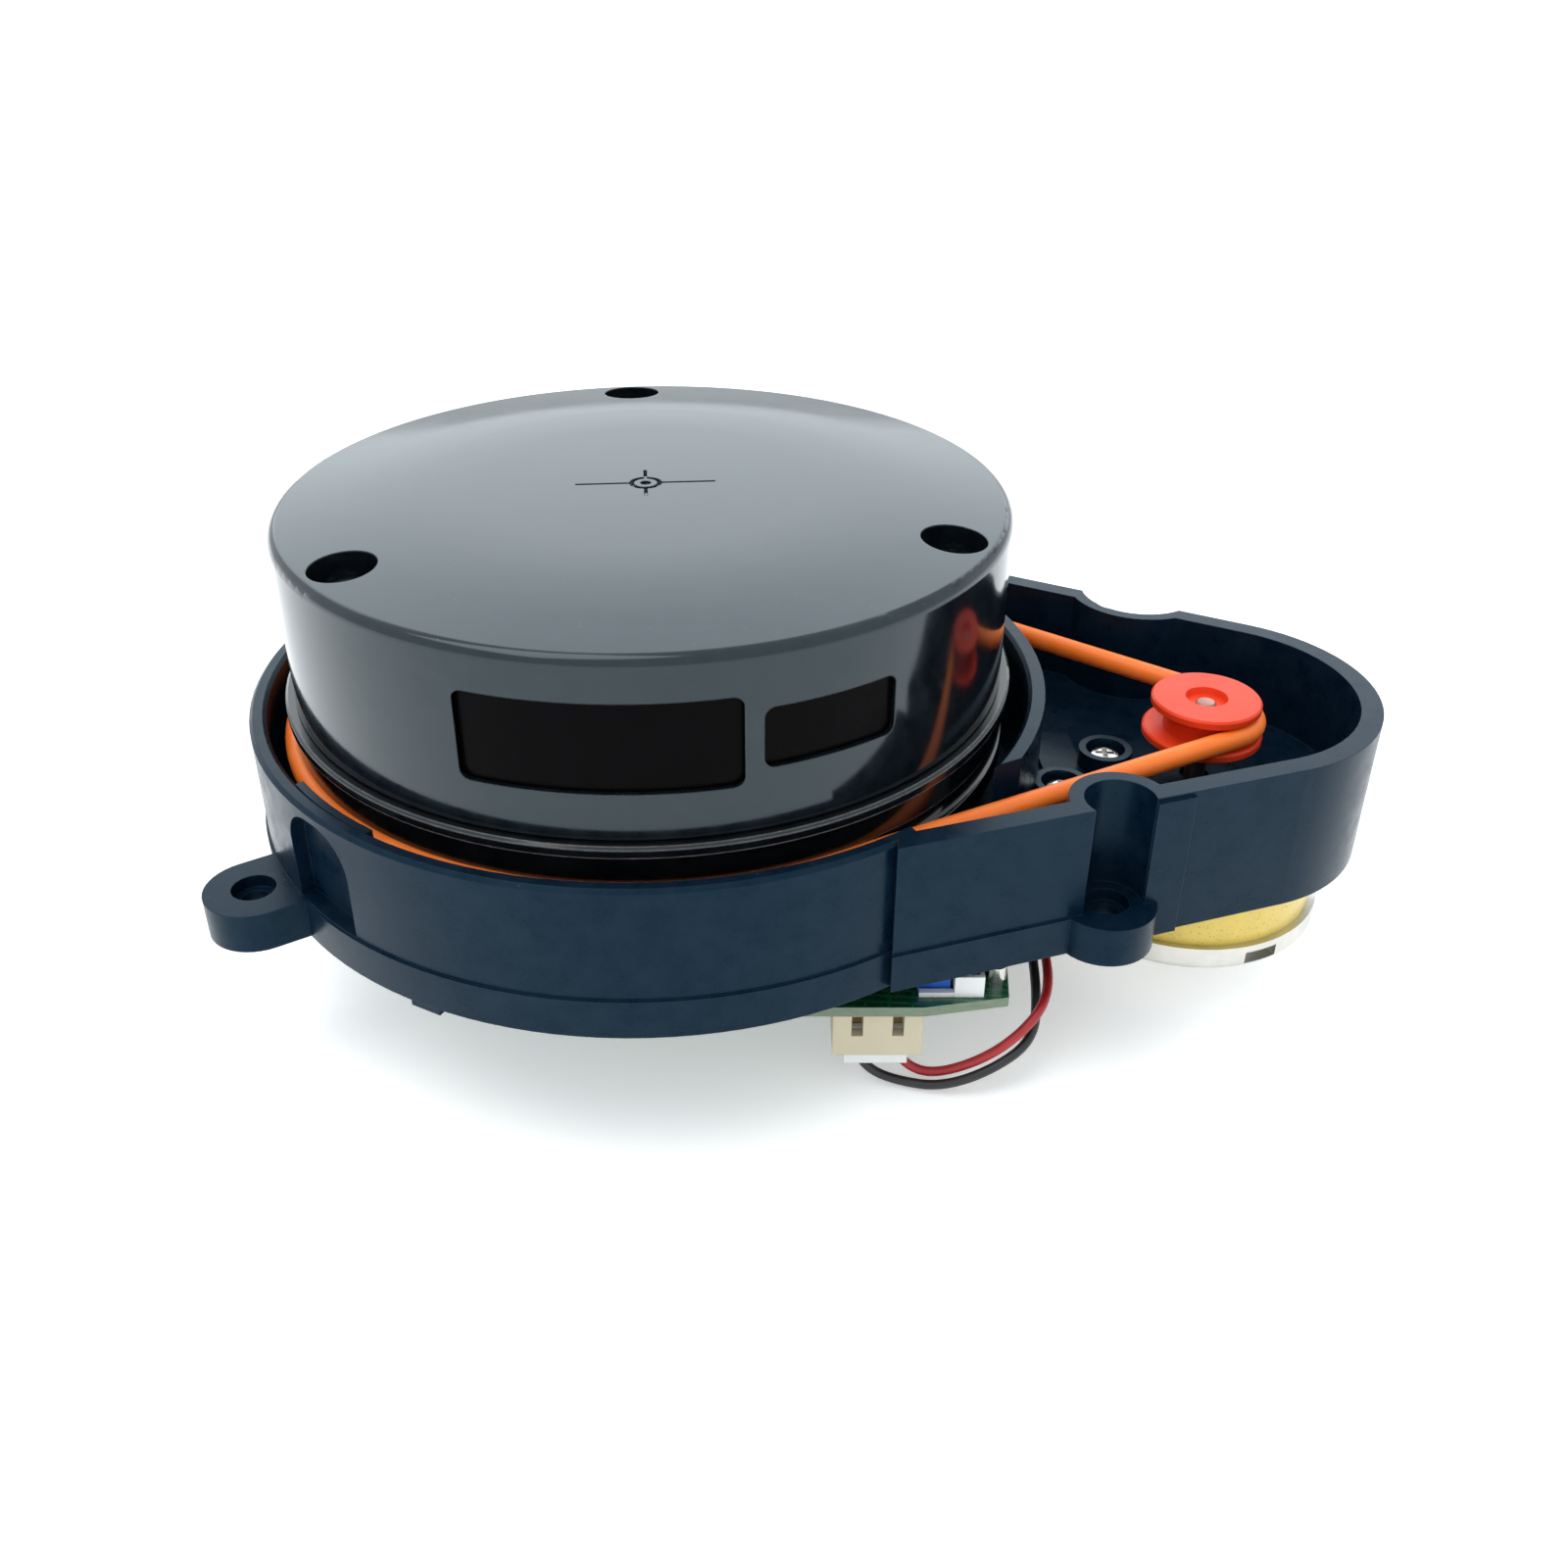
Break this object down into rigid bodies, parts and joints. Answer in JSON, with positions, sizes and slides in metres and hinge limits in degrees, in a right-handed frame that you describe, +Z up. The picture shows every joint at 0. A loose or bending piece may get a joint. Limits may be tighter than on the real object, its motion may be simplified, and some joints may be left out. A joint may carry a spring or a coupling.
{
  "type": "rotating laser distance scanner",
  "caption": "Belt-driven rotating laser distance scanner: glossy round turret with optical windows on a ring base, with a motor chamber, pulley and orange belt beside it.",
  "frame": {"origin": "where the turret's spin axis meets the plane of the lugs' undersides", "axes": "+Z up along the turret's spin axis; +X from the turret's axis towards the motor's axis; +Y completes a right-handed set, so the leads and the connector are on the -Y side"},
  "size_m": [0.1072, 0.076, 0.0472],
  "materials": {
    "base_plastic": "satin textured moulding",
    "turret_plastic": "glossy moulding",
    "window_plastic": "polished infrared-pass plastic",
    "turret_inner_plastic": "satin moulding",
    "belt_rubber": "orange cast elastomer",
    "pulley_plastic": "red-orange moulding",
    "screw_nickel": "nickel plated",
    "screw_steel": "zinc plated",
    "bearing_steel": "ground",
    "cage_brass": "pressed",
    "ferrite": "sintered",
    "coil_copper": "enamelled copper winding",
    "encoder_plastic": "matt moulding",
    "sensor_plastic": "matt moulding",
    "board_green": "solder mask",
    "chip_black": "moulded epoxy",
    "capacitor_silver": "bright",
    "component_blue": "moulding",
    "socket_white": "nylon",
    "header_cream": "nylon",
    "contact_tin": "tinned brass",
    "contact_brass": "stamped",
    "red_wire": "extruded insulation",
    "black_wire": "extruded insulation",
    "motor_steel": "zinc plated drawn steel",
    "band_yellow": "speckled film",
    "magnet_dark": "sintered",
    "bushing_bronze": "sintered bronze",
    "armature_steel": "laminated",
    "shaft_steel": "ground",
    "bracket_plastic": "moulding",
    "barrel_black": "black anodised",
    "lens_glass": "coated",
    "sensor_glass": "window of the sensor",
    "diode_brass": "gilt can",
    "weight_steel": "zinc plated"
  },
  "bodies": {
    "base": {"base_housing": "base_plastic", "bearing_inner_race": "bearing_steel", "bearing_clip": "screw_steel", "stator_ferrite": "ferrite", "stator_coil": "coil_copper", "encoder_ring": "encoder_plastic", "link_receiver": "sensor_plastic", "main_board": "board_green", "board_screws": "screw_steel", "board_processor": "chip_black", "board_capacitors": "capacitor_silver", "blue_trimmer": "component_blue", "board_crystal": "screw_nickel", "host_socket": "socket_white", "host_pins": "contact_tin", "motor_header": "header_cream", "header_pins": "contact_tin", "motor_plug": "socket_white", "plug_contacts": "contact_brass", "red_lead": "red_wire", "black_lead": "black_wire", "motor_can": "motor_steel", "motor_band": "band_yellow", "motor_end_cap": "motor_steel", "motor_magnet": "magnet_dark", "motor_bushings": "bushing_bronze", "motor_terminals": "contact_brass", "chamber_screws": "screw_nickel", "drive_belt": "belt_rubber"},
    "ball_set": {"bearing_balls": "bearing_steel", "bearing_cage": "cage_brass"},
    "turret": {"turret_cover": "turret_plastic", "cover_screws": "screw_nickel", "receiver_window": "window_plastic", "laser_window": "window_plastic", "turret_base": "turret_inner_plastic", "bearing_outer_race": "bearing_steel", "rotor_ferrite": "ferrite", "rotor_coil": "coil_copper", "photo_interrupter": "sensor_plastic", "rotor_board": "board_green", "rotor_board_screws": "screw_steel", "rotor_processor": "chip_black", "link_emitter": "sensor_plastic", "optics_bracket": "bracket_plastic", "bracket_screws": "screw_steel", "receiver_barrel": "barrel_black", "receiver_lens": "lens_glass", "sensor_board": "board_green", "image_sensor": "sensor_glass", "laser_barrel": "barrel_black", "laser_lens": "lens_glass", "laser_diode": "diode_brass", "balance_weight": "weight_steel"},
    "drive": {"drive_pulley": "pulley_plastic", "motor_shaft": "shaft_steel", "motor_armature": "armature_steel"}
  },
  "joints": [
    {"name": "turret_spin", "type": "hinge", "parent": "base", "child": "turret", "pos_m": [0, 0, 0], "axis": [0, 0, 1], "continuous": true},
    {"name": "bearing_cage_spin", "type": "hinge", "parent": "base", "child": "ball_set", "pos_m": [0, 0, 0], "axis": [0, 0, 1], "continuous": true},
    {"name": "pulley_spin", "type": "hinge", "parent": "base", "child": "drive", "pos_m": [0.0533, 0, 0], "axis": [0, 0, 1], "continuous": true}
  ],
  "couplings": [
    {"joint": "bearing_cage_spin", "follows": "turret_spin", "ratio": 0.56419},
    {"joint": "pulley_spin", "follows": "turret_spin", "ratio": 7.0833}
  ]
}
